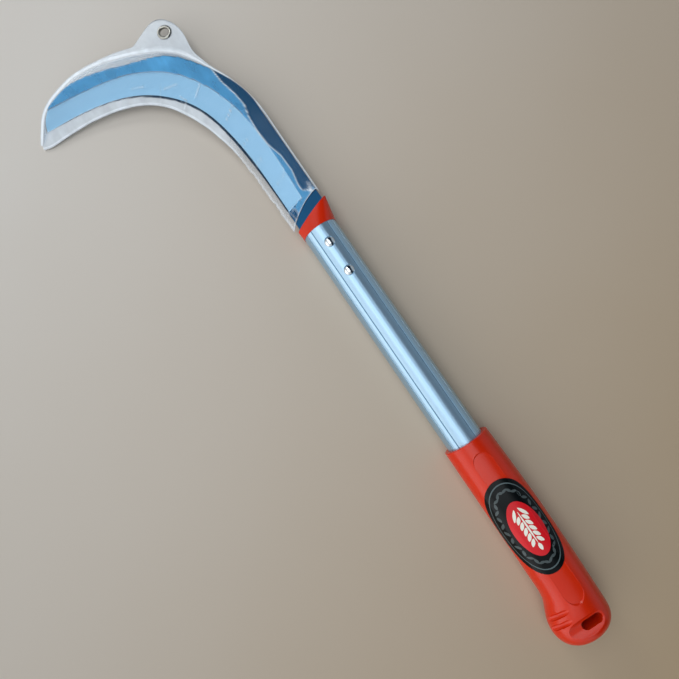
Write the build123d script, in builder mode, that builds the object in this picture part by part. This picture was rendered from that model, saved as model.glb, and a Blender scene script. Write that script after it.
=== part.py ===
from build123d import *
from math import asin, atan, copysign, cos, degrees, pi, radians, sin, sqrt
import os

# Long-handled hand sickle with a hooked blade, lying in its clear blade sheath.
#
# Everything is modelled on the bench: the handle's axis is X, from the butt at 0 towards
# the blade, the blade lies in the XY plane with its tip towards +Y, and +Z is the side
# with the rivets' domed heads. The finished pieces are then laid down as the tool rests
# on a floor, on its butt, its front rivet and the tip of its sheath.

# ---- driving dimensions, mm ----
GRIP_LENGTH = 158.0
TUBE_START = 40.0
TUBE_END = 350.0
TUBE_R = 14.0
TUBE_WALL = 1.3
GROOVE_R = 0.45
GROOVE_OFFSETS = (-52, -31, 31, 52)

BLADE_THICK = 2.6
EDGE_THICK = 0.3
PAST_EDGE_DROP = 0.45
TANG_START = 298.0
TANG_HALF = 10.0
NECK_SPINE_Y = -15.4
NECK_EDGE_Y = 12.6

COLLAR_R = 14.4
COLLAR_SLACK = 0.1
SPIGOT_R = 12.6
SPIGOT_START = 296.0
MOUTH_SPINE = (371.3, -18.6)
MOUTH_EDGE = (358.4, 14.8)
MOUTH_HALF_HEIGHT = 5.2

RIVET_X = (309.0, 335.0)
RIVET_HOLE_R = 2.5
SHANK_R = 2.4
RIVET_HEAD_R = 3.8
RIVET_HEAD_HEIGHT = 1.9
RIVET_SEAT_R = 4.1
RIVET_SEAT_Z = 13.6
CAP_BORE_R = 2.45
CAP_BORE_DEPTH = 1.0

PANEL_DEPTH = 0.85
PANEL_FLATTEN = 8.0
PANEL_LEDGE = 4.0
PANEL_ENDS = (30.5, 149.0)
PANEL_R = 8.6
PANEL_Y = -0.8
SLOT_CENTRE = (15.5, -0.6)
SLOT_LENGTH = 16.0
SLOT_WIDTH = 6.8
VALLEY_R = 8.0
VALLEY_DEPTH = 4.0
NOTCH_MIDDLES = ((28.2, 17.0, 11.2), (22.0, 18.8, 11.7))
NOTCH_R = 1.9
NOTCH_WAY = (-0.22, 0.72, -0.66)
NOTCH_LENGTH = 24.0
SOCKET_SLACK = 0.05
RIM_FILLET = 0.6

LABEL_CENTRE = (91.0, 0.4)
LABEL_POINTS = 24
LABEL_HALF_LENGTH = 36.0
LABEL_HALF_WRAP = 22.5
LABEL_THICK = 0.3
DISC_HALF_LENGTH = 20.5
DISC_HALF_WIDTH = 10.9
DISC_CENTRE = (88.6, -0.6)
DISC_THICK = 0.2

FILM = 0.4
FILM_GAP = 0.3
POCKET_SIDE_GAP = 0.6
POCKET_STEPS = 10
EYELET_CENTRE = (561.8, 13.1)
EYELET_HOLE_R = 3.9
EYELET_WALL = 0.4
EYELET_R = 6.1
EYELET_RIM = 0.8
EYELET_SLACK = 0.05

GRIP_LEFT = 17.2
GRIP_RIGHT = 18.4
GRIP_SWELL = 1.6
GRIP_HALF_HEIGHT = 17.0
KNOB_LENGTH = 17.0
KNOB_FLARE = 8.1
KNOB_RISE = 1.4
FLARE_LENGTH = 25.0
GRIP_SPANS = 15
KNOB_SPANS = 4
KNOB_BLUNTNESS = 0.77
KNOB_TURN = 87.0
TIP_TOUCH_SHARE = 0.7


def across(x):
    """The plane square to the handle at x, with Y across and Z up."""
    return Plane(origin=(x, 0, 0), x_dir=(0, 1, 0), z_dir=(1, 0, 0))


def grip_reach(x):
    """How far the grip reaches towards +Y, -Y and Z at x: it flares to a knob at the butt."""
    run = min(max((KNOB_LENGTH + FLARE_LENGTH - x) / FLARE_LENGTH, 0), 1)
    flare = run * run * (3 - 2 * run)
    swell = sin(pi * (GRIP_LENGTH - x) / (GRIP_LENGTH - KNOB_LENGTH))
    left = GRIP_LEFT + KNOB_FLARE * flare
    right = GRIP_RIGHT + GRIP_SWELL * swell
    return left, right, GRIP_HALF_HEIGHT + KNOB_RISE * flare


def grip_form(rise=0.0, widen=0.0):
    """The grip's plain outer form, its height changed by rise and its width by widen."""
    step = (GRIP_LENGTH - KNOB_LENGTH) / GRIP_SPANS
    with BuildPart() as form:
        for span in range(-KNOB_SPANS, GRIP_SPANS + 1):
            turn = radians(KNOB_TURN) * max(-span, 0) / KNOB_SPANS
            in_from_knob = (KNOB_LENGTH + rise) * sin(turn) ** KNOB_BLUNTNESS
            narrowing = cos(turn) ** KNOB_BLUNTNESS
            x = KNOB_LENGTH + max(span, 0) * step - in_from_knob
            left, right, half_height = grip_reach(max(x, KNOB_LENGTH))
            half_width = (left + right) / 2 + widen
            with BuildSketch(across(x)):
                with Locations(((left - right) / 2, 0)):
                    Ellipse(half_width * narrowing, (half_height + rise) * narrowing)
        loft()
    return form.part


def grip_skin(rise=0.0):
    """The grip's outer form with its two flattened panels, all raised by rise."""
    panel_length = PANEL_ENDS[1] - PANEL_ENDS[0]
    with BuildPart() as outside_panels:
        for out in (-PANEL_LEDGE, PANEL_LEDGE):
            with BuildSketch(Plane.XY.offset(GRIP_HALF_HEIGHT + out)):
                with Locations(((PANEL_ENDS[0] + PANEL_ENDS[1]) / 2, PANEL_Y)):
                    SlotOverall(panel_length + out * 2, (PANEL_R + out) * 2)
        loft()
        mirror(about=Plane.XY)
        add(grip_form(rise - PANEL_DEPTH, rise + PANEL_FLATTEN), mode=Mode.SUBTRACT)
    with BuildPart() as skin:
        add(grip_form(rise, rise))
        add(outside_panels.part, mode=Mode.SUBTRACT)
    return skin.part


# ---- blade outline, shared by the blade, the collar's slot and the sheath's pocket ----
with BuildSketch() as blade_plan:
    with BuildLine():
        tang = Polyline(
            (354.0, NECK_EDGE_Y),
            (349.0, TANG_HALF),
            (TANG_START, TANG_HALF),
            (TANG_START, -TANG_HALF),
            (355.0, -TANG_HALF),
            (363.0, NECK_SPINE_Y),
            (466.0, NECK_SPINE_Y),
        )
        spine = Spline(
            tang @ 1, (497.0, -8.2), (524.0, 6.6), (544.0, 24.5), (554.0, 48.0),
            (563.5, 72.0), (569.6, 97.0), (563.5, 126.0), tangents=[(1, 0), (-0.4, 0.9)],
        )
        tip = ThreePointArc(spine @ 1, (556.5, 134.0), (547.0, 138.5))
        edge = Spline(
            tip @ 1, (545.0, 121.0), (539.8, 90.2), (528.8, 62.6), (510.8, 40.3),
            (488.0, 25.2), (460.0, 17.6), (424.0, 13.8), (380.0, NECK_EDGE_Y),
            tangents=[(-0.1, -1), (-1, 0)],
        )
        Line(edge @ 1, tang @ 0)
    make_face()

# ---- blade: forged plate with a tang, ground to a single bevel on its upper side ----
half_blade = BLADE_THICK / 2
bevel_shoulder = Edge.make_spline([
    (380.0, -2.8, half_blade), (430.0, -4.3, half_blade), (467.0, -1.0, half_blade),
    (501.0, 9.4, half_blade), (530.0, 29.0, half_blade), (548.0, 57.0, half_blade),
    (556.8, 90.0, half_blade), (562.0, 127.0, half_blade), (563.5, 146.0, half_blade),
])
below_edge = EDGE_THICK - half_blade - PAST_EDGE_DROP
past_edge = Edge.make_spline([
    (375.0, 15.8, below_edge), (424.0, 17.0, below_edge), (459.0, 20.7, below_edge),
    (486.5, 28.2, below_edge), (508.3, 42.8, below_edge), (526.0, 64.0, below_edge),
    (536.8, 91.0, below_edge), (542.0, 124.0, below_edge), (542.5, 147.0, below_edge),
])
with BuildPart() as blade:
    with BuildSketch(Plane.XY.offset(-half_blade)):
        add(blade_plan.sketch)
    extrude(amount=BLADE_THICK)
    extrude(
        Face.make_surface_from_curves(bevel_shoulder, past_edge),
        amount=BLADE_THICK * 2, dir=(0, 0, 1), mode=Mode.SUBTRACT,
    )
    with BuildSketch(Plane.XY.offset(-BLADE_THICK)):
        with Locations(*[(x, 0) for x in RIVET_X]):
            Circle(RIVET_HOLE_R)
    extrude(amount=BLADE_THICK * 2, mode=Mode.SUBTRACT)

# ---- collar: moulded plug with a slotted spigot inside the tube and a slanted mouth ----
mouth_along = Vector(*MOUTH_EDGE) - Vector(*MOUTH_SPINE)
mouth_plane = Plane(
    origin=(Vector(*MOUTH_EDGE) + Vector(*MOUTH_SPINE)) / 2,
    x_dir=mouth_along,
    z_dir=(mouth_along.Y, -mouth_along.X, 0),
)
with BuildPart() as collar:
    with BuildSketch(across(TUBE_END)):
        Circle(COLLAR_R)
    with BuildSketch(mouth_plane):
        Ellipse(mouth_along.length / 2, MOUTH_HALF_HEIGHT)
    loft()
    with BuildSketch(across(SPIGOT_START)):
        Circle(SPIGOT_R)
    extrude(amount=TUBE_END - SPIGOT_START)
    with BuildSketch(Plane.XY.offset(-half_blade - COLLAR_SLACK)):
        add(blade_plan.sketch)
        offset(amount=COLLAR_SLACK)
    extrude(amount=BLADE_THICK + COLLAR_SLACK * 2, mode=Mode.SUBTRACT)
    with BuildSketch(Plane.XY.offset(-TUBE_R)):
        with Locations(*[(x, 0) for x in RIVET_X]):
            Circle(RIVET_HOLE_R)
    extrude(amount=TUBE_R * 2, mode=Mode.SUBTRACT)

# ---- tube: extruded aluminium with fine grooves, holed and flattened for the rivets ----
with BuildPart() as tube:
    with BuildSketch(across(TUBE_START)):
        Circle(TUBE_R)
        Circle(TUBE_R - TUBE_WALL, mode=Mode.SUBTRACT)
        for side in (90, 270):
            for groove_offset in GROOVE_OFFSETS:
                with PolarLocations(TUBE_R + GROOVE_R / 3, 1, side + groove_offset):
                    Circle(GROOVE_R, mode=Mode.SUBTRACT)
    extrude(amount=TUBE_END - TUBE_START)
    with BuildSketch(Plane.XY.offset(-TUBE_R)):
        with Locations(*[(x, 0) for x in RIVET_X]):
            Circle(RIVET_HOLE_R)
    extrude(amount=TUBE_R * 2, mode=Mode.SUBTRACT)
    for seat_plane in (Plane.XY, Plane.XY.rotated((180, 0, 0))):
        with BuildSketch(seat_plane.offset(RIVET_SEAT_Z)):
            with Locations(*[(x, 0) for x in RIVET_X]):
                Circle(RIVET_SEAT_R)
        extrude(amount=TUBE_R - RIVET_SEAT_Z, mode=Mode.SUBTRACT)


def rivet_post(x):
    """A rivet's domed head and its shank, which passes through tube, spigot and tang."""
    shank_end = -RIVET_SEAT_Z - CAP_BORE_DEPTH + CAP_BORE_R - SHANK_R
    with BuildPart() as post:
        with BuildSketch(Plane(origin=(x, 0, 0), x_dir=(1, 0, 0), z_dir=(0, -1, 0))):
            with BuildLine():
                crown = (0, RIVET_SEAT_Z + RIVET_HEAD_HEIGHT)
                rim = (RIVET_HEAD_R, RIVET_SEAT_Z)
                dome = TangentArc(crown, rim, tangent=(1, 0))
                Polyline(dome @ 1, (SHANK_R, RIVET_SEAT_Z), (SHANK_R, shank_end),
                         (0, shank_end), crown)
            make_face()
        revolve(axis=Axis((x, 0, 0), (0, 0, 1)))
    return post.part


def rivet_cap(x):
    """The domed cap that closes a rivet on the back of the tube."""
    with BuildPart() as cap:
        with BuildSketch(Plane(origin=(x, 0, 0), x_dir=(1, 0, 0), z_dir=(0, -1, 0))):
            with BuildLine():
                crown = (0, -RIVET_SEAT_Z - RIVET_HEAD_HEIGHT)
                rim = (RIVET_HEAD_R, -RIVET_SEAT_Z)
                dome = TangentArc(crown, rim, tangent=(1, 0))
                Polyline(
                    dome @ 1, (CAP_BORE_R, -RIVET_SEAT_Z),
                    (CAP_BORE_R, -RIVET_SEAT_Z - CAP_BORE_DEPTH),
                    (0, -RIVET_SEAT_Z - CAP_BORE_DEPTH), crown,
                )
            make_face()
        revolve(axis=Axis((x, 0, 0), (0, 0, 1)))
    return cap.part


# ---- grip: glossy plastic moulding over the end of the tube, with a lanyard slot ----
with BuildPart() as notches:
    for middle in NOTCH_MIDDLES:
        with Locations(Plane(origin=middle, z_dir=NOTCH_WAY)):
            Cylinder(NOTCH_R, NOTCH_LENGTH)
    mirror(about=Plane.XY)

with BuildPart() as grip:
    add(grip_skin())
    add(notches.part, mode=Mode.SUBTRACT)
    valley_floor = GRIP_HALF_HEIGHT + KNOB_RISE - VALLEY_DEPTH
    with BuildSketch(Plane.XZ.offset(-TUBE_R * 2)):
        for valley_z in (valley_floor + VALLEY_R, -valley_floor - VALLEY_R):
            with Locations((SLOT_CENTRE[0], valley_z)):
                Circle(VALLEY_R)
    extrude(amount=TUBE_R * 4, mode=Mode.SUBTRACT)
    with BuildSketch(Plane.XY.offset(-TUBE_R * 2)):
        with Locations(SLOT_CENTRE):
            SlotOverall(SLOT_LENGTH, SLOT_WIDTH, rotation=90)
    extrude(amount=TUBE_R * 4, mode=Mode.SUBTRACT)
    with BuildSketch(across(TUBE_START)):
        Circle(TUBE_R + SOCKET_SLACK)
    extrude(amount=GRIP_LENGTH, mode=Mode.SUBTRACT)
    fillet(grip.faces().sort_by(Axis.X)[-1].outer_wire().edges(), RIM_FILLET)

# ---- label: oval black vinyl wrapped over the front of the grip, with a red disc ----
def wrapped_half_width(x):
    """The label's half width seen from above at x, after it is wrapped round the grip."""
    flat = LABEL_HALF_WRAP * sqrt(max(1 - (x / LABEL_HALF_LENGTH) ** 2, 0))
    return GRIP_LEFT * sin(flat / GRIP_LEFT)


def label_edge(turn):
    """The point of the wrapped label's outline at an angle from its long axis."""
    x = LABEL_HALF_LENGTH * cos(turn)
    return LABEL_CENTRE[0] + x, LABEL_CENTRE[1] + copysign(wrapped_half_width(x), sin(turn))


label_turns = [2 * pi * turn / LABEL_POINTS for turn in range(LABEL_POINTS)]
with BuildPart() as label_backing:
    with BuildSketch():
        with BuildLine():
            Spline(*[label_edge(turn) for turn in label_turns], periodic=True)
        make_face()
    extrude(amount=TUBE_R * 2)
    add(grip_skin(LABEL_THICK), mode=Mode.INTERSECT)
    add(grip_skin(), mode=Mode.SUBTRACT)

with BuildPart() as label_disc:
    with BuildSketch():
        with Locations(DISC_CENTRE):
            Ellipse(DISC_HALF_LENGTH, DISC_HALF_WIDTH)
    extrude(amount=TUBE_R * 2)
    add(grip_skin(LABEL_THICK + DISC_THICK), mode=Mode.INTERSECT)
    add(grip_skin(LABEL_THICK), mode=Mode.SUBTRACT)

# ---- sheath: two clear vinyl films welded round the blade, open at the collar ----
with BuildSketch() as sheath_plan:
    with BuildLine():
        spine_side = Line((376.5, -17.0), (466.0, -17.0))
        shoulder = Spline(
            spine_side @ 1, (497.5, -10.2), (519.0, -1.2), (536.0, 1.2), (555.0, -1.0),
            tangents=[(1, 0), (1, -0.1)],
        )
        tab = ThreePointArc(shoulder @ 1, (570.6, 4.4), (574.8, 19.0))
        hook_side = Spline(
            tab @ 1, (568.0, 42.0), (573.0, 64.0), (576.8, 94.0), (566.0, 128.0),
            (548.5, 144.8), tangents=[(-0.1, 1), (-0.8, 0.5)],
        )
        corner = ThreePointArc(hook_side @ 1, (538.5, 149.3), (533.0, 145.0))
        edge_side = Spline(
            corner @ 1, (534.4, 122.0), (530.2, 90.0), (516.3, 59.0), (495.0, 38.0),
            (466.0, 26.4), (428.0, 19.2), (390.0, 17.4), tangents=[(0.1, -1), (-1, 0)],
        )
        Polyline(edge_side @ 1, (360.5, 17.6), (360.5, 15.6))
        Spline((360.5, 15.6), (370.2, 4.9), (377.4, -8.0), (376.5, -17.0))
    make_face()


def beside(curve, margin):
    """Points outside a stretch of the blade's outline, each margin away from it."""
    steps = [step / POCKET_STEPS for step in range(POCKET_STEPS + 1)]
    return [curve @ step + (curve % step).rotate(Axis.Z, -90) * margin for step in steps]


def pocket_plan(margin):
    """The blade's outline grown by margin, from inside the collar to the tip."""
    with BuildSketch() as plan:
        with BuildLine():
            outer = Spline(*beside(spine, margin), tangents=[spine % 0, spine % 1])
            inner = Spline(*beside(edge, margin), tangents=[edge % 0, edge % 1])
            tip_side = tip @ 0.5 + (tip % 0.5).rotate(Axis.Z, -90) * margin
            ThreePointArc(outer @ 1, tip_side, inner @ 0)
            Polyline(inner @ 1, (TUBE_END, NECK_EDGE_Y + margin),
                     (TUBE_END, NECK_SPINE_Y - margin), outer @ 0)
        make_face()
    return plan.sketch


def sheath_film(side):
    """One film: flat where it is welded, raised into a shallow pocket over the blade."""
    pocket_depth = half_blade + FILM_GAP
    with BuildPart() as film:
        with BuildSketch():
            add(sheath_plan.sketch)
        extrude(amount=FILM * side)
        with BuildSketch():
            add(pocket_plan(POCKET_SIDE_GAP + FILM))
            add(sheath_plan.sketch, mode=Mode.INTERSECT)
        extrude(amount=(pocket_depth + FILM) * side)
        with BuildSketch():
            add(pocket_plan(POCKET_SIDE_GAP))
        extrude(amount=pocket_depth * side, mode=Mode.SUBTRACT)
        with BuildSketch():
            with Locations(EYELET_CENTRE):
                Circle(EYELET_HOLE_R + EYELET_WALL + EYELET_SLACK)
        extrude(amount=FILM * side, mode=Mode.SUBTRACT)
    return film.part


# ---- eyelet: rolled steel ring through the tab, and the washer it is set against ----
eyelet_plane = Plane(origin=EYELET_CENTRE, x_dir=(1, 0, 0), z_dir=(0, -1, 0))
barrel_r = EYELET_HOLE_R + EYELET_WALL
rim_top = FILM + EYELET_RIM
lip_r = (barrel_r + EYELET_R) / 2
with BuildPart() as eyelet:
    with BuildSketch(eyelet_plane):
        with BuildLine():
            barrel_end = rim_top - EYELET_WALL
            barrel = Line((EYELET_HOLE_R, -barrel_end), (EYELET_HOLE_R, barrel_end))
            top_rim = ThreePointArc(barrel @ 1, (lip_r, rim_top), (EYELET_R, FILM))
            Polyline(top_rim @ 1, (barrel_r, FILM), (barrel_r, -FILM - EYELET_WALL),
                     (lip_r, -FILM - EYELET_WALL))
            ThreePointArc((lip_r, -FILM - EYELET_WALL), (barrel_r, -rim_top), barrel @ 0)
        make_face()
    revolve(axis=Axis((*EYELET_CENTRE, 0), (0, 0, 1)))

with BuildPart() as eyelet_washer:
    with BuildSketch(Plane.XY.offset(-FILM - EYELET_WALL)):
        with Locations(EYELET_CENTRE):
            Circle(EYELET_R)
            Circle(barrel_r + EYELET_SLACK, mode=Mode.SUBTRACT)
    extrude(amount=EYELET_WALL)

# ---- the tool laid down: the blade end drops to the front rivet, then the tip side rolls ----
rivet_drop = RIVET_SEAT_Z + RIVET_HEAD_HEIGHT
knob_left, knob_right, knob_height = grip_reach(KNOB_LENGTH)
lowest_tip_point = tip @ TIP_TOUCH_SHARE
butt_drop = knob_height
for _ in range(3):
    slope = (butt_drop - rivet_drop) / (RIVET_X[1] - KNOB_LENGTH)
    tip_height = butt_drop - slope * (lowest_tip_point.X - KNOB_LENGTH) - half_blade - FILM_GAP - FILM
    roll_sine = tip_height / lowest_tip_point.Y
    butt_drop = knob_height + (knob_left - knob_right) / 2 * roll_sine
pitch = degrees(atan(slope))
roll = degrees(asin(roll_sine))
tilted = Location((0, 0, 0), (-roll, 0, 0)) * Location((0, 0, 0), (0, pitch, 0))

pieces = {
    "blade": blade.part,
    "collar": collar.part,
    "tube": tube.part,
    "rivet_rear": rivet_post(RIVET_X[0]),
    "rivet_rear_cap": rivet_cap(RIVET_X[0]),
    "rivet_front": rivet_post(RIVET_X[1]),
    "rivet_front_cap": rivet_cap(RIVET_X[1]),
    "grip": grip.part,
    "label_backing": label_backing.part,
    "label_disc": label_disc.part,
    "sheath_front_film": sheath_film(1),
    "sheath_back_film": sheath_film(-1),
    "eyelet": eyelet.part,
    "eyelet_washer": eyelet_washer.part,
}
box = Compound(children=[piece.moved(tilted) for piece in pieces.values()]).bounding_box()
to_floor = Location((-box.center().X, -box.center().Y, -box.min.Z))
os.makedirs("parts", exist_ok=True)
for name, piece in pieces.items():
    laid = piece.moved(to_floor * tilted)
    laid.label = name
    export_step(laid, f"parts/{name}.step")

print("pitch", pitch, "roll", roll, "origin on the bench", tuple(box.center()), box.min.Z)
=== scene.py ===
import math

import bmesh
import bpy
from mathutils import Euler, Matrix, Vector, noise
from mathutils.bvhtree import BVHTree


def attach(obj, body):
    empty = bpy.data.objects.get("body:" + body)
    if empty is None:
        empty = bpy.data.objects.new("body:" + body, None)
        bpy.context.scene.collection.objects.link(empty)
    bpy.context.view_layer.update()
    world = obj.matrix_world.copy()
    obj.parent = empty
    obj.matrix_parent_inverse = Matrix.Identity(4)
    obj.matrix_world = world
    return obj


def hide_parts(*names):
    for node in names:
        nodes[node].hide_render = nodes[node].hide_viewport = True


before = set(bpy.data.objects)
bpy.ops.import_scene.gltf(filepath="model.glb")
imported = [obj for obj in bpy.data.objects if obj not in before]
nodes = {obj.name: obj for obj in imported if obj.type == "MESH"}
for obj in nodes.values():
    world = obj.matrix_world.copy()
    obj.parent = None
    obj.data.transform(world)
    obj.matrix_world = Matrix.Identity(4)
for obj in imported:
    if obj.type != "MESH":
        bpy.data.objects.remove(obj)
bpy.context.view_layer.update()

# ---- the room: a tan board in soft daylight, and the camera ----
# One wide window hangs over the board and a small one stands far beyond the blade. The side
# that the tip points to is bright, with a low window that lights the tube's edge, and the
# other side is dim, for the steel to mirror.

# The sickle's pitch and roll as it lies, in degrees, and the bench point at the row's origin.
REST_PITCH = 0.5741014086656294
REST_ROLL = 4.764221104241821
BENCH_ORIGIN = Vector((288.6370690007241, 64.2943697626456, -18.959533822441312))
MM = 0.001
turned = Matrix.Rotation(math.radians(-REST_ROLL), 4, "X")
turned = turned @ Matrix.Rotation(math.radians(REST_PITCH), 4, "Y")
laid = Matrix.Scale(MM, 4) @ Matrix.Translation(-BENCH_ORIGIN) @ turned
to_bench = laid.inverted()


def colour(code):
    """A linear colour from its sRGB hex code."""
    parts = [int(code[i:i + 2], 16) / 255 for i in (0, 2, 4)]
    return [p / 12.92 if p <= 0.04045 else ((p + 0.055) / 1.055) ** 2.4 for p in parts] + [1.0]


def add(tree, kind, links=(), **settings):
    """Adds one shader node. links gives its inputs numbers, colours or other sockets."""
    made = tree.nodes.new("ShaderNode" + kind)
    for name, value in settings.items():
        setattr(made, name, value)
    for name, value in dict(links).items():
        if isinstance(value, bpy.types.NodeSocket):
            tree.links.new(value, made.inputs[name])
        else:
            made.inputs[name].default_value = value
    return made


def finish(name):
    """A new material and its empty node tree."""
    material = bpy.data.materials.new(name)
    material.use_nodes = True
    material.node_tree.nodes.clear()
    return material, material.node_tree


BOARD_HALF = 3.0
board_mesh = bmesh.new()
bmesh.ops.create_grid(board_mesh, x_segments=1, y_segments=1, size=BOARD_HALF)
board = bpy.data.objects.new("board", bpy.data.meshes.new("board"))
board_mesh.to_mesh(board.data)
board_mesh.free()
bpy.context.scene.collection.objects.link(board)
# Matt tan emulsion, rolled on, with faint changes of tone.
TOWARDS_BUTT = (-0.94, -0.51, 0.0)
material, tree = finish("tan_emulsion_board_painted_falloff")
place = add(tree, "TexCoord").outputs["Object"]
# Painted light falloff: the colour darkens and warms slowly towards the butt, where the light fades.
painted_falloff = add(tree, "VectorMath", {0: place, 1: TOWARDS_BUTT}, operation="DOT_PRODUCT")
slow = add(tree, "TexNoise", {"Vector": place, "Scale": 3.0, "Detail": 3.0}).outputs["Fac"]
slow = add(tree, "Math", {0: slow, 1: 0.16, 2: -0.08}, operation="MULTIPLY_ADD").outputs[0]
tone = add(tree, "Math", {0: painted_falloff.outputs["Value"], 1: slow}, operation="ADD").outputs[0]
tone = add(tree, "MapRange", {"Value": tone, "From Min": -0.32, "From Max": 0.4}).outputs[0]
shade = add(tree, "Mix", {0: tone, 6: colour("d0c9c1"), 7: colour("ae977a")}, data_type="RGBA")
grain = add(tree, "TexNoise", {"Vector": place, "Scale": 900.0, "Detail": 2.0}).outputs["Fac"]
bump = add(tree, "Bump", {"Height": grain, "Strength": 0.08, "Distance": 0.0004})
paint = add(tree, "BsdfPrincipled", {
    "Base Color": shade.outputs[2], "Roughness": 0.75, "Specular IOR Level": 0.3,
    "Normal": bump.outputs["Normal"],
})
add(tree, "OutputMaterial", {"Surface": paint.outputs[0]})
board.data.materials.append(material)

world = bpy.data.worlds.new("room")
bpy.context.scene.world = world
world.use_nodes = True
tree = world.node_tree
tree.nodes.clear()
# How far a look into the room leans to the side that the tip points to, from -1 to 1.
sky_way = add(tree, "TexCoord").outputs["Generated"]
tipwards = add(tree, "SeparateXYZ", {0: sky_way}).outputs["Y"]
dim_wall_foot = add(tree, "MapRange", {
    "Value": tipwards, "From Min": -0.58, "From Max": -0.82,
}, interpolation_type="SMOOTHSTEP").outputs[0]
dim_side = add(tree, "Mix", {
    0: dim_wall_foot, 6: colour("1a2d3e"), 7: colour("b8c6d0"),
}, data_type="RGBA").outputs[2]
bright_wall_foot = add(tree, "MapRange", {
    "Value": tipwards, "From Min": 0.1, "From Max": 0.8,
}, interpolation_type="SMOOTHSTEP").outputs[0]
bright_side = add(tree, "Mix", {
    0: bright_wall_foot, 6: colour("d6dfe5"), 7: colour("fafdff"),
}, data_type="RGBA").outputs[2]
past_middle = add(tree, "MapRange", {
    "Value": tipwards, "From Min": -0.14, "From Max": -0.02,
}, interpolation_type="SMOOTHSTEP").outputs[0]
walls = add(tree, "Mix", {0: past_middle, 6: dim_side, 7: bright_side}, data_type="RGBA").outputs[2]
low_window = add(tree, "MapRange", {
    "Value": tipwards, "From Min": 0.6, "From Max": 0.95, "To Min": 0.76, "To Max": 1.9,
}, interpolation_type="SMOOTHSTEP").outputs[0]
room_light = add(tree, "Background", {"Color": walls, "Strength": low_window})
add(tree, "OutputWorld", {"Surface": room_light.outputs[0]})


def soft_light(name, place, aim, width, height, power, tint):
    """A rectangular soft light at place, in metres, turned to face aim."""
    lamp = bpy.data.lights.new(name, "AREA")
    lamp.shape = "RECTANGLE"
    lamp.size = width
    lamp.size_y = height
    lamp.energy = power
    lamp.color = colour(tint)[:3]
    holder = bpy.data.objects.new(name, lamp)
    holder.location = place
    holder.rotation_euler = (Vector(aim) - Vector(place)).to_track_quat("-Z", "Y").to_euler()
    bpy.context.scene.collection.objects.link(holder)


soft_light("window", (0.12, 0.12, 0.80), (0.12, 0.06, 0), 1.1, 0.6, 3.3, "eef3f7")
soft_light("far_window", (1.05, 0.12, 0.62), (-0.1, -0.03, 0), 0.3, 0.3, 1.8, "fbfdff")

# The camera hangs over the handle, almost square to the board, with the tip to its left.
CAMERA_PLACE = Vector((231.96, 31.39, 377.35))
CAMERA_TURN = (4.6959, 3.7687, -123.8506)
lens = bpy.data.cameras.new("camera")
lens.lens = 26.51
camera = bpy.data.objects.new("camera", lens)
camera.location = laid @ CAMERA_PLACE
looking = Euler([math.radians(angle) for angle in CAMERA_TURN]).to_matrix()
camera.rotation_euler = (turned.to_3x3() @ looking).to_euler()
bpy.context.scene.collection.objects.link(camera)
bpy.context.scene.camera = camera
bpy.context.scene.view_settings.view_transform = "Standard"

# ---- handle tube ----
# Extruded aluminium tube with pressed grooves along it, clear anodised. The die leaves fine
# straight lines, and the matt anodic film spreads each reflection across them.
TUBE_R = 14.0


def bench_place(tree):
    """The socket that gives a point's place on the bench, in millimetres."""
    return add(tree, "Mapping", {
        "Vector": add(tree, "TexCoord").outputs["Object"],
        "Location": laid.translation, "Rotation": turned.to_euler(), "Scale": (MM, MM, MM),
    }, vector_type="TEXTURE").outputs[0]


def stretched(tree, place, pitch):
    """place divided by a pattern's size along each axis, in millimetres."""
    return add(tree, "VectorMath", {0: place, 1: pitch}, operation="DIVIDE").outputs[0]


def wear(material, *parts):
    """Gives CAD nodes a material in place of the one they came with."""
    for part in parts:
        nodes[part].data.materials.clear()
        nodes[part].data.materials.append(material)


material, tree = finish("clear_anodised_aluminium")
place = bench_place(tree)
# Die lines are about 0.1 mm apart; drawn at 0.7 mm, which is as fine as shows.
die_lines = add(tree, "TexNoise", {
    "Vector": stretched(tree, place, (260.0, 0.7, 0.7)), "Scale": 1.0, "Detail": 3.0,
}).outputs["Fac"]
streaks = add(tree, "TexNoise", {
    "Vector": stretched(tree, place, (400.0, 3.2, 3.2)), "Scale": 1.0, "Detail": 2.0,
}).outputs["Fac"]
metal = add(tree, "Mix", {0: streaks, 6: colour("98bbd6"), 7: colour("b9d2e3")}, data_type="RGBA")
# Painted shade: what lies below the tube's radius, in the grooves, is coloured darker.
off_axis = add(tree, "VectorMath", {0: place, 1: (0.0, 1.0, 1.0)}, operation="MULTIPLY").outputs[0]
radius = add(tree, "VectorMath", {0: off_axis}, operation="LENGTH").outputs["Value"]
groove_shade = add(tree, "MapRange", {
    "Value": radius, "From Min": TUBE_R - 0.03, "From Max": TUBE_R - 0.2,
}).outputs[0]
metal = add(tree, "Mix", {0: groove_shade, 6: metal.outputs[2], 7: colour("5d7f96")}, data_type="RGBA")
dull = add(tree, "MapRange", {"Value": die_lines, "To Min": 0.28, "To Max": 0.42}).outputs[0]
bump = add(tree, "Bump", {"Height": die_lines, "Strength": 0.35, "Distance": 0.0003})
shader = add(tree, "BsdfPrincipled", {
    "Base Color": metal.outputs[2], "Metallic": 0.88, "Roughness": dull,
    "Normal": bump.outputs["Normal"],
})
add(tree, "OutputMaterial", {"Surface": shader.outputs[0]})
wear(material, "tube")

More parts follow.
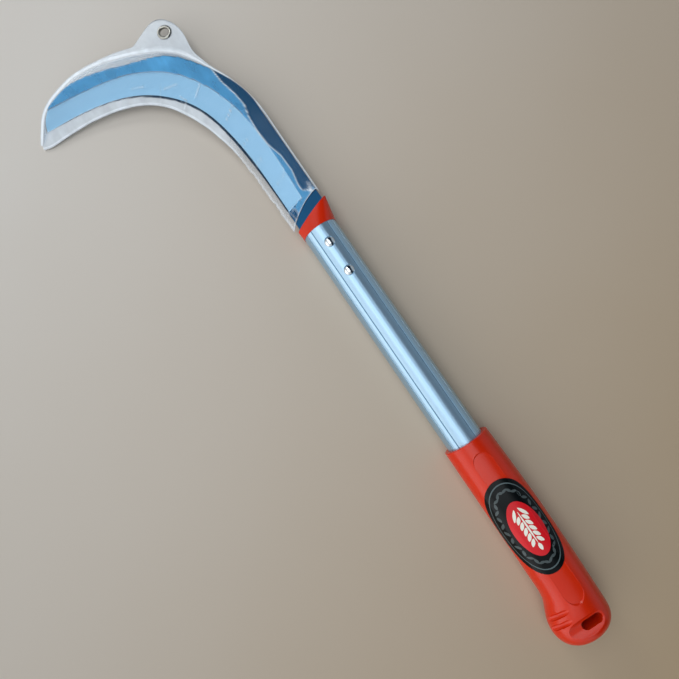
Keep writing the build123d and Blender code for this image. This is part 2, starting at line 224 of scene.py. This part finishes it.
# ---- rivets ----
# Two stainless rivets, each set in a pressed cap at the back, hold the tube on the tang. Their
# domed heads are polished, so each mirrors the windows as hard white spots.
material, tree = finish("polished_stainless_steel")
place = bench_place(tree)
rub = add(tree, "TexNoise", {"Vector": place, "Scale": 2.0, "Detail": 2.0}).outputs["Fac"]
gloss = add(tree, "MapRange", {"Value": rub, "To Min": 0.05, "To Max": 0.14}).outputs[0]
shader = add(tree, "BsdfPrincipled", {
    "Base Color": colour("dfe3e6"), "Metallic": 1.0, "Roughness": gloss,
})
add(tree, "OutputMaterial", {"Surface": shader.outputs[0]})
wear(material, "rivet_front", "rivet_front_cap", "rivet_rear", "rivet_rear_cap")

# ---- collar and grip ----
# Injection-moulded polypropylene, bright orange red, with the soft gloss and very fine
# spark texture that the mould gives it.
material, tree = finish("moulded_orange_red_polypropylene")
place = bench_place(tree)
flow = add(tree, "TexNoise", {
    "Vector": stretched(tree, place, (60.0, 18.0, 18.0)), "Scale": 1.0, "Detail": 2.0,
}).outputs["Fac"]
red = add(tree, "Mix", {0: flow, 6: colour("c82402"), 7: colour("d12b05")}, data_type="RGBA")
# Spark texture is about 0.05 mm; drawn at 0.5 mm.
spark = add(tree, "TexNoise", {"Vector": place, "Scale": 2.0, "Detail": 2.0}).outputs["Fac"]
gloss = add(tree, "MapRange", {"Value": spark, "To Min": 0.2, "To Max": 0.3}).outputs[0]
bump = add(tree, "Bump", {"Height": spark, "Strength": 0.1, "Distance": 0.0001})
shader = add(tree, "BsdfPrincipled", {
    "Base Color": red.outputs[2], "Roughness": gloss, "IOR": 1.49, "Specular IOR Level": 0.4,
    "Subsurface Weight": 0.08, "Subsurface Scale": 0.001,
    "Subsurface Radius": (1.0, 0.2, 0.1), "Normal": bump.outputs["Normal"],
})
add(tree, "OutputMaterial", {"Surface": shader.outputs[0]})
wear(material, "collar", "grip")

# ---- blade ----
# Forged carbon steel. The flats keep a thin blue lacquer and the single bevel is ground bright along
# its length.
# A dark hair line of painted shade and reflection runs along the honed edge.
HALF_BLADE = 1.3
DARK_EDGE_BELOW = -0.82
material, tree = finish("blue_lacquered_steel_with_ground_bevel")
place = bench_place(tree)
height = add(tree, "SeparateXYZ", {0: place}).outputs["Z"]
# The bevel is what looks up and lies below the flat.
facing = add(tree, "VectorMath", {
    0: add(tree, "NewGeometry").outputs["Normal"], 1: turned.to_3x3() @ Vector((0, 0, 1)),
}, operation="DOT_PRODUCT").outputs["Value"]
below_flat = add(tree, "Math", {0: height, 1: HALF_BLADE - 0.015}, operation="LESS_THAN").outputs[0]
looks_up = add(tree, "Math", {0: facing, 1: 0.9}, operation="GREATER_THAN").outputs[0]
ground = add(tree, "Math", {0: below_flat, 1: looks_up}, operation="MULTIPLY").outputs[0]
# Painted shade and reflection: the strip of bevel at the cutting edge is coloured dark.
painted_edge_shade = add(tree, "Math", {0: height, 1: DARK_EDGE_BELOW}, operation="LESS_THAN").outputs[0]
painted_edge_shade = add(tree, "Math", {0: painted_edge_shade, 1: ground}, operation="MULTIPLY").outputs[0]
cloud = add(tree, "TexNoise", {
    "Vector": stretched(tree, place, (30.0, 12.0, 12.0)), "Scale": 1.0, "Detail": 3.0,
}).outputs["Fac"]
blue = add(tree, "Mix", {0: cloud, 6: colour("143e5e"), 7: colour("1a4c70")}, data_type="RGBA")
# Grinding lines are about 0.1 mm apart; drawn at 0.8 mm.
grind = add(tree, "TexNoise", {
    "Vector": stretched(tree, place, (0.8, 14.0, 14.0)), "Scale": 1.0, "Detail": 3.0,
}).outputs["Fac"]
bright = add(tree, "Mix", {0: grind, 6: colour("7ea5c1"), 7: colour("8fb8d3")}, data_type="RGBA")
steel = add(tree, "Mix", {
    0: ground, 6: blue.outputs[2], 7: bright.outputs[2],
}, data_type="RGBA").outputs[2]
steel = add(tree, "Mix", {0: painted_edge_shade, 6: steel, 7: colour("1c3042")}, data_type="RGBA").outputs[2]
dull = add(tree, "MapRange", {"Value": ground, "To Min": 0.38, "To Max": 0.45}).outputs[0]
bump = add(tree, "Bump", {"Height": grind, "Strength": 0.06, "Distance": 0.0002})
shader = add(tree, "BsdfPrincipled", {
    "Base Color": steel, "Metallic": 0.9, "Roughness": dull, "Normal": bump.outputs["Normal"],
})
add(tree, "OutputMaterial", {"Surface": shader.outputs[0]})
wear(material, "blade")

# ---- label ----
# Printed vinyl, laminated: a black oval wrapped round the grip with a thin grey ring, and
# a red disc. A plain ring of leaves and an ear of rice stand in for the maker's print.
LABEL_CENTRE = (91.0, 0.4)
# Half the grip's width under the label. Sizes across the label are measured round it.
GRIP_HALF = 17.2
RING_HALF_LENGTH = 32.4
RING_HALF_WRAP = 19.0
# Half the ring's line, as a share of the ring's size.
RING_HALF_LINE = 0.014
material, tree = finish("black_laminated_vinyl")
place = bench_place(tree)
spot = add(tree, "SeparateXYZ", {0: place})
along = add(tree, "Math", {0: spot.outputs["X"], 1: LABEL_CENTRE[0]}, operation="SUBTRACT").outputs[0]
along = add(tree, "Math", {0: along, 1: RING_HALF_LENGTH}, operation="DIVIDE").outputs[0]
wrap = add(tree, "Math", {0: spot.outputs["Y"], 1: LABEL_CENTRE[1]}, operation="SUBTRACT").outputs[0]
wrap = add(tree, "Math", {0: wrap, 1: GRIP_HALF}, operation="DIVIDE").outputs[0]
wrap = add(tree, "Math", {0: wrap}, operation="ARCSINE").outputs[0]
wrap = add(tree, "Math", {0: wrap, 1: GRIP_HALF / RING_HALF_WRAP}, operation="MULTIPLY").outputs[0]
out_way = add(tree, "CombineXYZ", {"X": along, "Y": wrap}).outputs[0]
reach = add(tree, "VectorMath", {0: out_way}, operation="LENGTH").outputs["Value"]
ring = add(tree, "Math", {0: reach, 1: 1.0, 2: RING_HALF_LINE}, operation="COMPARE").outputs[0]
ink = add(tree, "Mix", {0: ring, 6: colour("080c0d"), 7: colour("566365")}, data_type="RGBA").outputs[2]
wave = add(tree, "TexNoise", {
    "Vector": stretched(tree, place, (9.0, 9.0, 9.0)), "Scale": 1.0, "Detail": 1.0,
}).outputs["Fac"]
bump = add(tree, "Bump", {"Height": wave, "Strength": 0.15, "Distance": 0.0003})
shader = add(tree, "BsdfPrincipled", {
    "Base Color": ink, "Roughness": 0.2, "IOR": 1.5, "Specular IOR Level": 0.16,
    "Normal": bump.outputs["Normal"],
})
add(tree, "OutputMaterial", {"Surface": shader.outputs[0]})
wear(material, "label_backing")


def one_ink_vinyl(name, ink, thin_ink):
    """Printed, laminated vinyl of one ink, with the slight mottle of screen printing."""
    material, tree = finish(name)
    mottle = add(tree, "TexNoise", {
        "Vector": bench_place(tree), "Scale": 1.2, "Detail": 2.0,
    }).outputs["Fac"]
    tone = add(tree, "Mix", {0: mottle, 6: colour(thin_ink), 7: colour(ink)}, data_type="RGBA")
    shader = add(tree, "BsdfPrincipled", {
        "Base Color": tone.outputs[2], "Roughness": 0.3, "IOR": 1.5, "Specular IOR Level": 0.3,
        "Coat Weight": 0.1, "Coat Roughness": 0.15,
    })
    add(tree, "OutputMaterial", {"Surface": shader.outputs[0]})
    return material


wear(one_ink_vinyl("red_laminated_vinyl", "da1420", "c8101b"), "label_disc")


def surface_tree(name):
    """A search tree of a CAD node's faces on the bench."""
    faces = bmesh.new()
    faces.from_mesh(nodes[name].data)
    faces.transform(to_bench)
    found = BVHTree.FromBMesh(faces)
    faces.free()
    return found


def height_over(found, x, y, side=1):
    """The height of the outermost face over a point of the bench, or None."""
    hit = found.ray_cast(Vector((x, y, 60 * side)), Vector((0, 0, -side)))[0]
    return None if hit is None else hit.z


INK_THICK = 0.08
INK_GAP = 0.02


def print_shapes(name, blots, label_faces, material):
    """Pointed blots of ink on a curved label. Each is centre x, centre y, length, width, turn."""
    sheet = bmesh.new()
    for centre_x, centre_y, length, width, turn in blots:
        blot = bmesh.ops.create_circle(sheet, cap_ends=True, segments=14, radius=0.5)["verts"]
        bmesh.ops.scale(sheet, verts=blot, vec=(length, width, 1))
        for vert in blot:
            vert.co.y *= 1 - (vert.co.x / length) ** 2 * 1.6
        bmesh.ops.rotate(sheet, verts=blot, matrix=Matrix.Rotation(turn, 3, "Z"))
        bmesh.ops.translate(sheet, verts=blot, vec=(centre_x, centre_y, 0))
    bmesh.ops.triangulate(sheet, faces=sheet.faces[:])
    for vert in sheet.verts:
        vert.co.z = (height_over(label_faces, vert.co.x, vert.co.y) or 0) + INK_GAP
    sheet.transform(laid)
    piece = bpy.data.objects.new(name, bpy.data.meshes.new(name))
    sheet.to_mesh(piece.data)
    sheet.free()
    bpy.context.scene.collection.objects.link(piece)
    thick = piece.modifiers.new("ink", "SOLIDIFY")
    thick.thickness = INK_THICK * MM
    thick.offset = 1
    piece.data.materials.append(material)
    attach(piece, "sickle")


# The ring of leaves, which lean in and out of it by turns.
LEAVES = 30
LEAF_LENGTH = 4.6
LEAF_WIDTH = 1.9
LEAF_LEAN = 0.45
LEAVES_HALF_LENGTH = 27.3
LEAVES_HALF_WRAP = 14.6
leaf_blots = []
for leaf in range(LEAVES):
    at = 2 * math.pi * (leaf + 0.5) / LEAVES
    wrapped = LEAVES_HALF_WRAP * math.sin(at)
    ring_way = math.atan2(LEAVES_HALF_WRAP * math.cos(at), -LEAVES_HALF_LENGTH * math.sin(at))
    leaf_blots.append((
        LABEL_CENTRE[0] + LEAVES_HALF_LENGTH * math.cos(at),
        LABEL_CENTRE[1] + GRIP_HALF * math.sin(wrapped / GRIP_HALF),
        LEAF_LENGTH, LEAF_WIDTH, ring_way + (LEAF_LEAN if leaf % 2 else -LEAF_LEAN),
    ))
print_shapes("label_leaves", leaf_blots, surface_tree("label_backing"),
             one_ink_vinyl("grey_printed_vinyl", "4a5354", "3c4546"))

# The ear of rice: a stem, a grain at its top, pairs of grains down it and two leaves at its foot.
EAR_X = 88.6
EAR_Y = -0.6
GRAIN_PAIRS = 5
GRAIN_STEP = 4.3
stem = (EAR_X + 1.0, EAR_Y, 25.0, 1.3, 0.0)
top_grain = (EAR_X - 14.0, EAR_Y, 5.6, 2.8, 0.0)
ear_blots = [stem, top_grain]
for pair in range(GRAIN_PAIRS):
    for way in (-1, 1):
        grain_x = EAR_X - 9.6 + GRAIN_STEP * pair
        ear_blots.append((grain_x, EAR_Y + way * 2.9, 6.0, 2.7, -way * 0.62))
for way in (-1, 1):
    ear_blots.append((EAR_X + 11.6, EAR_Y + way * 3.6, 9.0, 2.4, -way * 0.5))
print_shapes("label_ear", ear_blots, surface_tree("label_disc"),
             one_ink_vinyl("white_printed_vinyl", "f4f3e6", "e8e7d8"))

# ---- sheath ----
# Two sheets of clear flexible PVC, welded together just inside their outline, with a frosted
# tab for the eyelet. The front sheet looks dark where it clings to the blade's flat and milky
# where air lies under it, and its seam by the cutting edge has puckered near the mouth.
# Over air the milk is partly painted sheen, and the mouth's edge, the creases and the rim of the
# clinging part carry painted highlights.

# Three lines from the mouth to the tip, with stations that face each other: the outline and
# the weld on the blade's spine side, and the outline on the side of the cutting edge.
OUTER = [
    (376.5, -17.0), (400, -17.2), (432, -17.3), (466, -17.0), (494, -11.0), (512, -3.6),
    (523, -0.1), (535.4, 2.4), (552, 0.8), (562.4, 2.3), (569.4, 5.8), (573.7, 10.1),
    (575.7, 15.8), (574.7, 22.4), (570.9, 31.7), (567.3, 40.5), (568.6, 46.5), (571.7, 56.1),
    (574.5, 69.4), (576.5, 83.1), (576.7, 98), (573.9, 111.7), (569.4, 124.4), (562.6, 134),
    (552.3, 141.6), (541.2, 148.4),
]
WELD = [
    (376.5, -16.2), (400, -16.4), (432, -16.5), (466, -16.2), (494, -10.1), (511.5, -2.5),
    (517, 0.2), (524.5, 3.5), (532, 7.6), (537.5, 11.2), (542.3, 14.9), (546.8, 19.6),
    (551, 24.9), (556, 33), (560, 40.5), (563, 46.8), (565.5, 52.5), (568.3, 60),
    (571.8, 71), (574.2, 84), (574.8, 97), (572, 110.8), (567.7, 123.3), (561.3, 132.6),
    (551.4, 140), (539.4, 147.6),
]
INNER = [
    (360.5, 17.6), (380, 17.9), (402, 18.3), (424, 19.3), (446, 21.3), (462, 25.0),
    (470, 27.2), (478, 30.2), (485, 33), (491, 36), (496.5, 39), (501.5, 42),
    (506, 45.5), (510.5, 49.5), (514.5, 54), (518, 59), (521.5, 65), (524.5, 72),
    (527.5, 80.5), (530.3, 92), (532.3, 104), (533.2, 116), (533.5, 127), (533.5, 136),
    (534.0, 142.6), (535.9, 148.2),
]
WELD_MARGIN = 1.5
FILM_THICK = 0.25
CLING_GAP = 0.14
# The two sheets meet in the weld just off the middle plane.
WELD_LEVEL = 0.02
# The front sheet clings to the flat below this line, from CLING_FROM on towards the tip.
CLING_FROM = 380
CLING_LINE = [
    (376, -12), (380, -12.5), (384.7, -5.9), (390.6, -6), (402.7, -8.3), (418, -7.9), (431.5, -4.4),
    (446.3, -3.5), (459, -4.2), (470.5, -6.8), (482, -5.6), (497.7, -2.1), (513, -1.2), (518, 1.0),
]
# Creases in the front sheet: two ends, height and half width.
CREASES = [
    ((537, 61), (533, 52.6), 0.2, 0.8), ((520.7, 38.7), (517.7, 28.9), 0.22, 0.9),
    ((524.9, 40.1), (509.8, 49.5), 0.1, 0.6), ((507.2, 31.6), (501.4, 29.4), 0.28, 0.6),
    ((501.4, 29.4), (496.7, 34.4), 0.28, 0.6), ((505.8, 13.2), (499.7, 21.9), 0.35, 0.6),
    ((475.7, 0.4), (468.6, 11.8), 0.35, 0.5), ((446, 4.6), (443.5, 11), 0.2, 0.6),
    ((426, 6.5), (422.5, 13), 0.16, 0.9), ((405, -2.5), (400, 7), 0.2, 0.7),
    ((386, -13.5), (380, -11.5), 0.35, 1.6), ((374.2, 11.3), (368, 10.2), 0.25, 0.5),
    ((368, 10.2), (362.1, 12.5), 0.25, 0.5), ((567, 42.5), (529, 1.8), 0.12, 0.5),
]
# The mouth's edge bows in by this much between its ends.
MOUTH_BOW = 5.2
# The seam by the cutting edge puckers from here to the mouth, to and fro and up.
PUCKER_FROM = 455
PUCKER_SWAY = 1.1
PUCKER_RISE = 1.6
# A corner of the sheet is pressed down on the flat, from here to the mouth.
PRESSED_FROM = 378
# The air under the sheet has gathered here, at the blade's shoulder, shown only as painted sheen: the
# sheet over air is whiter round this point.
SHEEN_PATCH_CENTRE = Vector((541, 27))
# The weld along the spine widens from about here, towards the tab.
TAB_FOOT = 500
EYELET_PLACE = Vector((561.8, 13.1))
TAB_HOLE_R = 4.9
# How milky the sheets are in each place, from 0 for clear to 1 for white.
EDGE_WELD_MILK = 0.38
SPINE_WELD_MILK = 0.85
EDGE_MARGIN_MILK = 0.42
SPINE_MARGIN_MILK = 0.15
TAB_MILK = 0.22
# Painted highlights and sheen, whitened into the milk; over air it is partly the film's haze:
LIP_PAINTED_HIGHLIGHT = 0.6
CREASE_PAINTED_GLINT = 0.6
CLING_RIM_PAINTED_HIGHLIGHT = 0.38
AIR_HAZE_AND_SHEEN = 0.42
SHEEN_PATCH_MILK = 0.25
# The seam by the cutting edge is clearer from here to the mouth.
CLEAR_SEAM_FROM = 470
# The grid of each sheet: steps from mouth to tip, steps across, and those outside the weld.
ALONG = 240
ACROSS = 64
TAB_COLUMNS = 12


def smooth_point(points, share):
    """The point at share, 0 to 1, of a smooth line through evenly counted points."""
    reach = min(max(share, 0), 1) * (len(points) - 1)
    i = min(int(reach), len(points) - 2)
    t = reach - i
    p0, p1, p2, p3 = (Vector(points[min(max(i + k, 0), len(points) - 1)]) for k in (-1, 0, 1, 2))
    return 0.5 * (2 * p1 + (p2 - p0) * t + (2 * p0 - 5 * p1 + 4 * p2 - p3) * t * t
                  + (3 * p1 - p0 - 3 * p2 + p3) * t ** 3)


def step_up(value, low, high):
    """0 below low, 1 above high, and smooth between."""
    t = min(max((value - low) / (high - low), 0), 1)
    return t * t * (3 - 2 * t)


def blend(start, end, share):
    """The number that lies at share, 0 to 1, of the way from start to end."""
    return start + (end - start) * share


def from_segment(point, start, end):
    """How far a point is from a straight stretch."""
    start, end = Vector(start), Vector(end)
    run = end - start
    t = min(max((point - start).dot(run) / run.length_squared, 0), 1)
    return (point - start - run * t).length


def cling_edge(x):
    """The Y below which the front sheet clings to the flat, at x."""
    for (x0, y0), (x1, y1) in zip(CLING_LINE, CLING_LINE[1:]):
        if x0 <= x < x1:
            return blend(y0, y1, (x - x0) / (x1 - x0))
    return -99.0


def flat_sheet(share, column):
    """A point of the flat sheet, how far it is inside the weld, and whether it is frosted."""
    outer, weld, inner = (smooth_point(line, share) for line in (OUTER, WELD, INNER))
    if column < TAB_COLUMNS:
        point = outer.lerp(weld, column / TAB_COLUMNS)
        inside = -(point - weld).length
    else:
        point = weld.lerp(inner, (column - TAB_COLUMNS) / (ACROSS - TAB_COLUMNS))
        inside = min((point - weld).length, (point - inner).length - WELD_MARGIN)
    frosted = column < TAB_COLUMNS and (outer - weld).length > 3
    return point, inside, frosted


def blade_under(point, side):
    """The blade's height under a sheet, and how far the point is off the blade."""
    over = height_over(blade_faces, point.x, point.y, side)
    if over is not None:
        return side * over, 0
    near = blade_faces.find_nearest(Vector((point.x, point.y, 0)))[0]
    return side * near.z, (near.xy - point).length


def air_on_flat(point):
    """The air under the front sheet over the blade's flat: 0 where it clings, 1 where it is free."""
    edge = cling_edge(point.x)
    clings = 1 - step_up(point.y, edge - 1.0, edge + 0.7)
    clings *= step_up(point.x, CLING_FROM, CLING_FROM + 5)
    pressed_corner = step_up(point.y, 5, 8) * step_up(PRESSED_FROM - point.x, 0, 4)
    return (1 - clings) * (1 - pressed_corner)


def creases_at(point):
    """How high the creases lift the front sheet at a point, and their painted glint there."""
    lift = 0.0
    glint = 0.0
    broken = 1 + 0.9 * noise.noise((point.x * 0.5, point.y * 0.5, 8.1))
    for start, end, rise, half in CREASES:
        ridge = math.exp(-(from_segment(point, start, end) / half) ** 2)
        lift += rise * ridge
        glint = max(glint, ridge * rise * broken)
    return lift, glint


blade_faces = surface_tree("blade")


def film(name, side):
    """One sheet of the sheath, drawn down over the blade from its side of the bench."""
    sheet = bmesh.new()
    bmesh.ops.create_grid(sheet, x_segments=ALONG, y_segments=ACROSS, size=0.5)
    haze_and_sheen = sheet.verts.layers.float.new("haze_and_sheen")
    airy = sheet.verts.layers.float.new("air")
    for vert in sheet.verts:
        share = vert.co.x + 0.5
        column = (vert.co.y + 0.5) * ACROSS
        across = column / ACROSS
        point, inside, frosted = flat_sheet(share, column)
        near_mouth = max(1 - share * 12, 0)
        point.x += MOUTH_BOW * math.sin(math.pi * across) ** 0.8 * near_mouth * near_mouth
        edge_side = step_up((column - TAB_COLUMNS) / (ACROSS - TAB_COLUMNS), 0.75, 1)
        pucker = step_up(PUCKER_FROM - point.x, 0, 30) * edge_side
        ripple = noise.noise((point.x * 0.3, point.y * 0.1, 3.7))
        point.y += PUCKER_SWAY * ripple * pucker

        # The height: on the blade, down to the weld beside it, and flat outside the weld.
        blade_height, off_blade = blade_under(point, side)
        on_flat = not off_blade and blade_height > HALF_BLADE - 0.02
        air = air_on_flat(point) if side > 0 and on_flat else 0.0
        lift, glint = creases_at(point) if side > 0 else (0.0, 0.0)
        soft = noise.noise((point.x * 0.05, point.y * 0.07, 1.3 + side))
        level = max(blade_height, -0.2) + CLING_GAP + air * (0.35 + 0.25 * soft) + lift
        if off_blade:
            slope = max(inside, 0) / (max(inside, 0) + off_blade + 1e-6)
            level = WELD_LEVEL + (max(level, 0.3) - WELD_LEVEL) * slope ** 1.3
        if inside <= 0:
            level = WELD_LEVEL
        level += PUCKER_RISE * abs(ripple) * pucker * step_up(inside, -0.2, 1.2)
        vert.co = (point.x, point.y, side * level)

        # The milkiness: whitest in the weld, which is wide by the tab and faint along the spine.
        spine_side = 1 - step_up(across, 0.3, 0.7)
        by_tab = step_up(point.x, TAB_FOOT, TAB_FOOT + 30) * spine_side
        weld = math.exp(-((inside + 0.4 * by_tab) / (0.7 + 1.0 * by_tab)) ** 2)
        weld *= 1 - 0.75 * spine_side * (1 - step_up(point.x, TAB_FOOT - 10, TAB_FOOT + 12))
        weld *= 1 - 0.6 * pucker
        beside_blade = step_up(off_blade, 0, 0.5)
        clear_seam = step_up(CLEAR_SEAM_FROM - point.x, 0, 40) * (1 - spine_side)
        on_front = side > 0 and not off_blade
        # Painted highlight: a white line where the front sheet lifts off the flat.
        painted_rim_highlight = math.exp(-((point.y - cling_edge(point.x)) / 0.45) ** 2) if on_front else 0.0
        # Painted sheen: a whiter patch of the sheet over air, round the blade's shoulder.
        sheen_patch = math.exp(-(point - SHEEN_PATCH_CENTRE).length_squared / 90)
        # Painted highlight: a white line along the sheet's mouth edge.
        painted_lip_highlight = math.exp(-(share * ALONG / 0.7) ** 2)
        milk_and_sheen = blend(EDGE_WELD_MILK, SPINE_WELD_MILK, spine_side) * weld
        margin_milk = blend(EDGE_MARGIN_MILK, SPINE_MARGIN_MILK, spine_side)
        milk_and_sheen += margin_milk * beside_blade * (1 - 0.75 * clear_seam)
        milk_and_sheen += TAB_MILK * frosted + LIP_PAINTED_HIGHLIGHT * painted_lip_highlight
        # Painted highlights: the creases' glint and the rim of the clinging part are whitened.
        milk_and_sheen += CREASE_PAINTED_GLINT * glint + CLING_RIM_PAINTED_HIGHLIGHT * painted_rim_highlight
        # Over air the sheet is milkier: partly the film's haze, partly painted sheen of the air gap.
        milk_and_sheen += (AIR_HAZE_AND_SHEEN + SHEEN_PATCH_MILK * sheen_patch) * air
        vert[haze_and_sheen] = min(1.0, milk_and_sheen)
        # The blue tint of the painted sheen over air, with a trace between the blade's spine and the
        # weld.
        spine_gap = 0.3 * spine_side * beside_blade * (inside > 2.5)
        vert[airy] = max(air, spine_gap) * (1 - min(1, painted_lip_highlight + 0.8 * painted_rim_highlight + 2 * glint))
    tab_hole = [
        face for face in sheet.faces
        if (face.calc_center_median().xy - EYELET_PLACE).length < TAB_HOLE_R
    ]
    bmesh.ops.delete(sheet, geom=tab_hole, context="FACES")
    if side < 0:
        bmesh.ops.reverse_faces(sheet, faces=sheet.faces[:])
    sheet.transform(laid)
    for face in sheet.faces:
        face.smooth = True
    piece = bpy.data.objects.new(name, bpy.data.meshes.new(name))
    sheet.to_mesh(piece.data)
    sheet.free()
    bpy.context.scene.collection.objects.link(piece)
    wall = piece.modifiers.new("film", "SOLIDIFY")
    wall.thickness = FILM_THICK * MM
    wall.offset = 1
    return piece


# Clear film with a hard gloss. An attribute of haze and painted sheen turns it from clear to milky
# white.
# Air, another attribute, turns that milk blue: painted sheen of the blade under an air gap.
material, tree = finish("clear_flexible_pvc_film_painted_sheen")
place = bench_place(tree)
milk_and_sheen = add(tree, "Attribute", attribute_name="haze_and_sheen").outputs["Fac"]
air_below = add(tree, "Attribute", attribute_name="air").outputs["Fac"]
patchy = add(tree, "TexNoise", {
    "Vector": stretched(tree, place, (16.0, 9.0, 9.0)), "Scale": 1.0, "Detail": 4.0,
}).outputs["Fac"]
patchy = add(tree, "MapRange", {
    "Value": patchy, "From Min": 0.3, "From Max": 0.7, "To Min": 0.8, "To Max": 1.2,
}).outputs[0]
milk_and_sheen = add(tree, "Math", {0: milk_and_sheen, 1: patchy}, operation="MULTIPLY", use_clamp=True).outputs[0]
scatter = add(tree, "Mix", {
    0: air_below, 6: colour("f2f7fc"), 7: colour("6cbef3"),
}, data_type="RGBA").outputs[2]
clear = add(tree, "BsdfTransparent", {"Color": colour("ffffff")})
milky = add(tree, "BsdfDiffuse", {"Color": scatter})
body = add(tree, "MixShader", {0: milk_and_sheen, 1: clear.outputs[0], 2: milky.outputs[0]})
swell = add(tree, "TexNoise", {
    "Vector": stretched(tree, place, (7.0, 7.0, 7.0)), "Scale": 1.0, "Detail": 3.0,
}).outputs["Fac"]
bump = add(tree, "Bump", {"Height": swell, "Strength": 0.12, "Distance": 0.0005})
shine = add(tree, "BsdfGlossy", {
    "Color": colour("ffffff"), "Roughness": 0.1, "Normal": bump.outputs["Normal"],
})
mirror = add(tree, "Fresnel", {"IOR": 1.16, "Normal": bump.outputs["Normal"]}).outputs[0]
whole = add(tree, "MixShader", {0: mirror, 1: body.outputs[0], 2: shine.outputs[0]})
add(tree, "OutputMaterial", {"Surface": whole.outputs[0]})
for name, side in (("front_film", 1), ("back_film", -1)):
    piece = film(name, side)
    piece.data.materials.append(material)
    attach(piece, "sheath")
    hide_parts("sheath_" + name)

# ---- eyelet ----
# A rolled steel eyelet, pressed through the sheath's tab and clenched on its washer. The
# nickel plating has dulled in soft patches.
material, tree = finish("nickel_plated_steel")
place = bench_place(tree)
tarnish = add(tree, "TexNoise", {"Vector": place, "Scale": 0.9, "Detail": 3.0}).outputs["Fac"]
plate = add(tree, "Mix", {0: tarnish, 6: colour("8c8981"), 7: colour("b8b6ae")}, data_type="RGBA")
gloss = add(tree, "MapRange", {"Value": tarnish, "To Min": 0.16, "To Max": 0.34}).outputs[0]
shader = add(tree, "BsdfPrincipled", {
    "Base Color": plate.outputs[2], "Metallic": 1.0, "Roughness": gloss,
})
add(tree, "OutputMaterial", {"Surface": shader.outputs[0]})
wear(material, "eyelet", "eyelet_washer")
